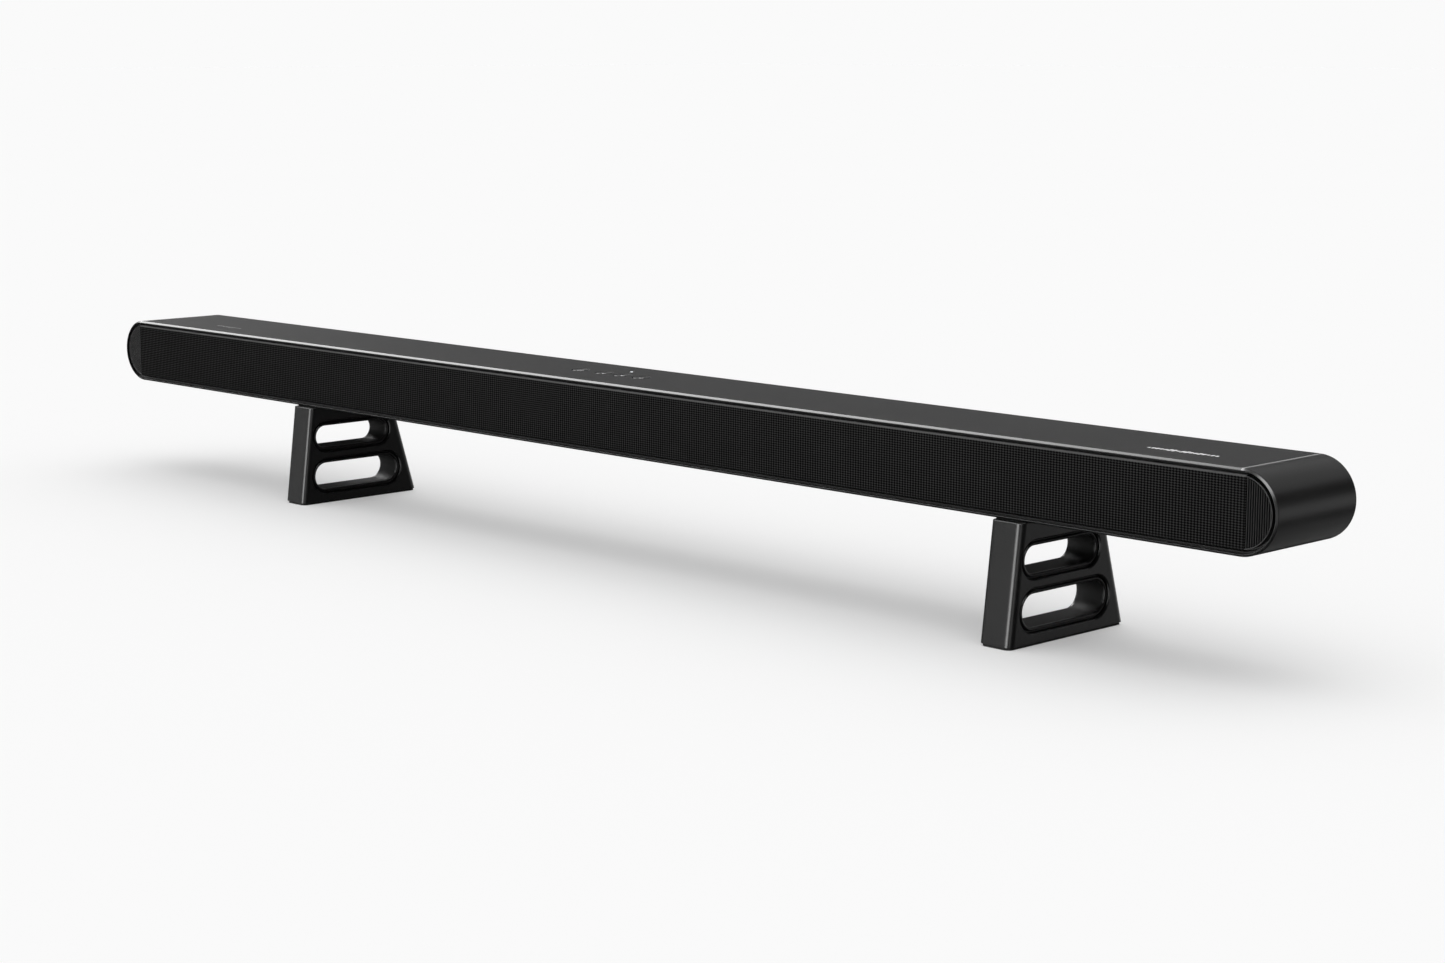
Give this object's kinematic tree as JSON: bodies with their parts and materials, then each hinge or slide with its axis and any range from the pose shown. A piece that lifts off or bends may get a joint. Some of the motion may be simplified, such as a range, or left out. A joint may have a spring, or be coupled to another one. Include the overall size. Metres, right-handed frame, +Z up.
{
  "type": "soundbar",
  "caption": "Slim soundbar with round ends, cloth front, ribbed end grilles and a matt top inlay, raised on tapered stands with lipped slots.",
  "frame": {"origin": "on the floor, midway between the ends of the bar and between the front and rear of the stands", "axes": "+X along the bar to the listener's right, -Y out of the front, +Z up"},
  "size_m": [0.978, 0.0935, 0.1064],
  "materials": {
    "satin_black": "satin black anodised, finely brushed along its length",
    "top_inlay": "fine matt texture, dark grey",
    "grille_cloth": "coarse black speaker cloth with dark open cells",
    "moulded_black": "fine moulded texture, black",
    "stand_black": "smooth satin black moulding",
    "black_rubber": "matt black rubber",
    "cone_paper": "coated paper, dark grey",
    "dome_silk": "treated silk, dark grey",
    "plated_steel": "zinc plated",
    "black_steel": "black coated steel",
    "bare_aluminium": "plain extruded",
    "circuit_board": "green solder mask",
    "transformer_winding": "varnished winding and ferrite",
    "light_pipe": "clear light pipe, lit white"
  },
  "bodies": {
    "bar": {"shell": "satin_black", "top_panel": "top_inlay", "grille_cloth": "grille_cloth", "grille_frame": "moulded_black", "end_grille_right": "moulded_black", "end_grille_left": "moulded_black", "front_baffle": "moulded_black", "rear_cover": "moulded_black", "bass_port_left": "moulded_black", "bass_port_right": "moulded_black", "tweeter_left_frame": "moulded_black", "tweeter_right_frame": "moulded_black", "power_inlet": "moulded_black", "optical_jack": "moulded_black", "ir_receiver": "moulded_black", "cover_screw_1": "black_steel", "cover_screw_2": "black_steel", "cover_screw_3": "black_steel", "cover_screw_4": "black_steel", "woofer_1_basket": "black_steel", "woofer_2_basket": "black_steel", "woofer_3_basket": "black_steel", "woofer_4_basket": "black_steel", "stand_screw_left_front": "black_steel", "stand_screw_left_rear": "black_steel", "stand_screw_right_front": "black_steel", "stand_screw_right_rear": "black_steel", "woofer_1_magnet": "plated_steel", "woofer_2_magnet": "plated_steel", "woofer_3_magnet": "plated_steel", "woofer_4_magnet": "plated_steel", "hdmi_jack": "plated_steel", "aux_jack": "plated_steel", "woofer_1_surround": "black_rubber", "woofer_2_surround": "black_rubber", "woofer_3_surround": "black_rubber", "woofer_4_surround": "black_rubber", "speaker_loom": "black_rubber", "stand_sole_left": "black_rubber", "stand_sole_right": "black_rubber", "stand_pad_left": "black_rubber", "stand_pad_right": "black_rubber", "main_board": "circuit_board", "power_board": "circuit_board", "control_board": "circuit_board", "heat_sink": "bare_aluminium", "transformer": "transformer_winding", "status_light": "light_pipe", "stand_left": "stand_black", "stand_right": "stand_black"},
    "woofer_1": {"woofer_1_cone": "cone_paper"},
    "woofer_2": {"woofer_2_cone": "cone_paper"},
    "woofer_3": {"woofer_3_cone": "cone_paper"},
    "woofer_4": {"woofer_4_cone": "cone_paper"},
    "tweeter_left": {"tweeter_left_dome": "dome_silk"},
    "tweeter_right": {"tweeter_right_dome": "dome_silk"},
    "button_power": {"button_power": "satin_black"},
    "button_volume_down": {"button_volume_down": "satin_black"},
    "button_source": {"button_source": "satin_black"},
    "button_volume_up": {"button_volume_up": "satin_black"}
  },
  "joints": [
    {"name": "press_power", "type": "slide", "parent": "bar", "child": "button_power", "axis": [0, 0, -1], "range_m": [0, 0.0006], "stiffness_N_per_m": 500, "springref_m": -0.001},
    {"name": "press_volume_down", "type": "slide", "parent": "bar", "child": "button_volume_down", "axis": [0, 0, -1], "range_m": [0, 0.0006], "stiffness_N_per_m": 500, "springref_m": -0.001},
    {"name": "press_source", "type": "slide", "parent": "bar", "child": "button_source", "axis": [0, 0, -1], "range_m": [0, 0.0006], "stiffness_N_per_m": 500, "springref_m": -0.001},
    {"name": "press_volume_up", "type": "slide", "parent": "bar", "child": "button_volume_up", "axis": [0, 0, -1], "range_m": [0, 0.0006], "stiffness_N_per_m": 500, "springref_m": -0.001},
    {"name": "woofer_1_excursion", "type": "slide", "parent": "bar", "child": "woofer_1", "axis": [0, -1, 0], "range_m": [-0.0015, 0.0015], "stiffness_N_per_m": 1500},
    {"name": "woofer_2_excursion", "type": "slide", "parent": "bar", "child": "woofer_2", "axis": [0, -1, 0], "range_m": [-0.0015, 0.0015], "stiffness_N_per_m": 1500},
    {"name": "woofer_3_excursion", "type": "slide", "parent": "bar", "child": "woofer_3", "axis": [0, -1, 0], "range_m": [-0.0015, 0.0015], "stiffness_N_per_m": 1500},
    {"name": "woofer_4_excursion", "type": "slide", "parent": "bar", "child": "woofer_4", "axis": [0, -1, 0], "range_m": [-0.0015, 0.0015], "stiffness_N_per_m": 1500},
    {"name": "tweeter_left_excursion", "type": "slide", "parent": "bar", "child": "tweeter_left", "axis": [0, -1, 0], "range_m": [-0.0003, 0.0003], "stiffness_N_per_m": 4000},
    {"name": "tweeter_right_excursion", "type": "slide", "parent": "bar", "child": "tweeter_right", "axis": [0, -1, 0], "range_m": [-0.0003, 0.0003], "stiffness_N_per_m": 4000}
  ]
}
